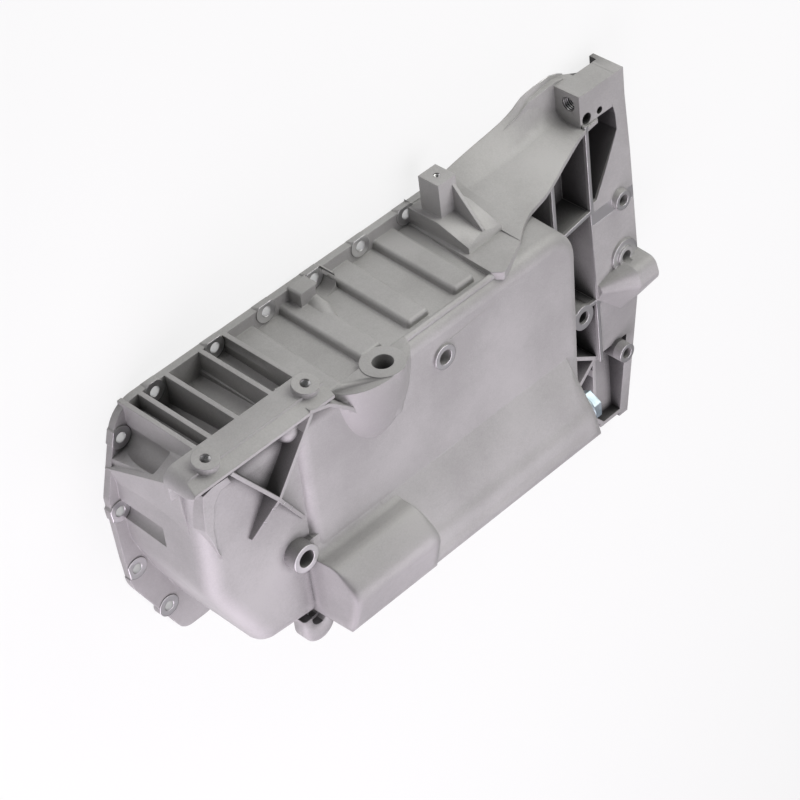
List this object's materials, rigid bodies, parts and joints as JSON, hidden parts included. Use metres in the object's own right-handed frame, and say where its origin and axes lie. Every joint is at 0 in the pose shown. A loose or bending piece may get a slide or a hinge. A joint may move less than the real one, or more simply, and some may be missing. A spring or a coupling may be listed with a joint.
{
  "type": "engine oil pan",
  "caption": "Cast aluminium structural oil pan with a bolted gasket flange, ribbed wall, deep sump, drain plug and a wing to the gearbox face.",
  "frame": {"origin": "centre of a bolt hole of the near rail, on the gasket face", "axes": "+X along the crankshaft to the gearbox face, +Y to the ribbed near side, +Z from the gasket face to the bottom of the sump"},
  "size_m": [0.4598, 0.33, 0.1248],
  "materials": {
    "cast_aluminium": "satin sand cast",
    "zinc_plated_steel": "pale blue zinc plate",
    "washer_aluminium": "plain"
  },
  "bodies": {
    "root": {"pan_casting": "cast_aluminium", "drain_plug": "zinc_plated_steel", "drain_plug_washer": "washer_aluminium"}
  },
  "joints": []
}
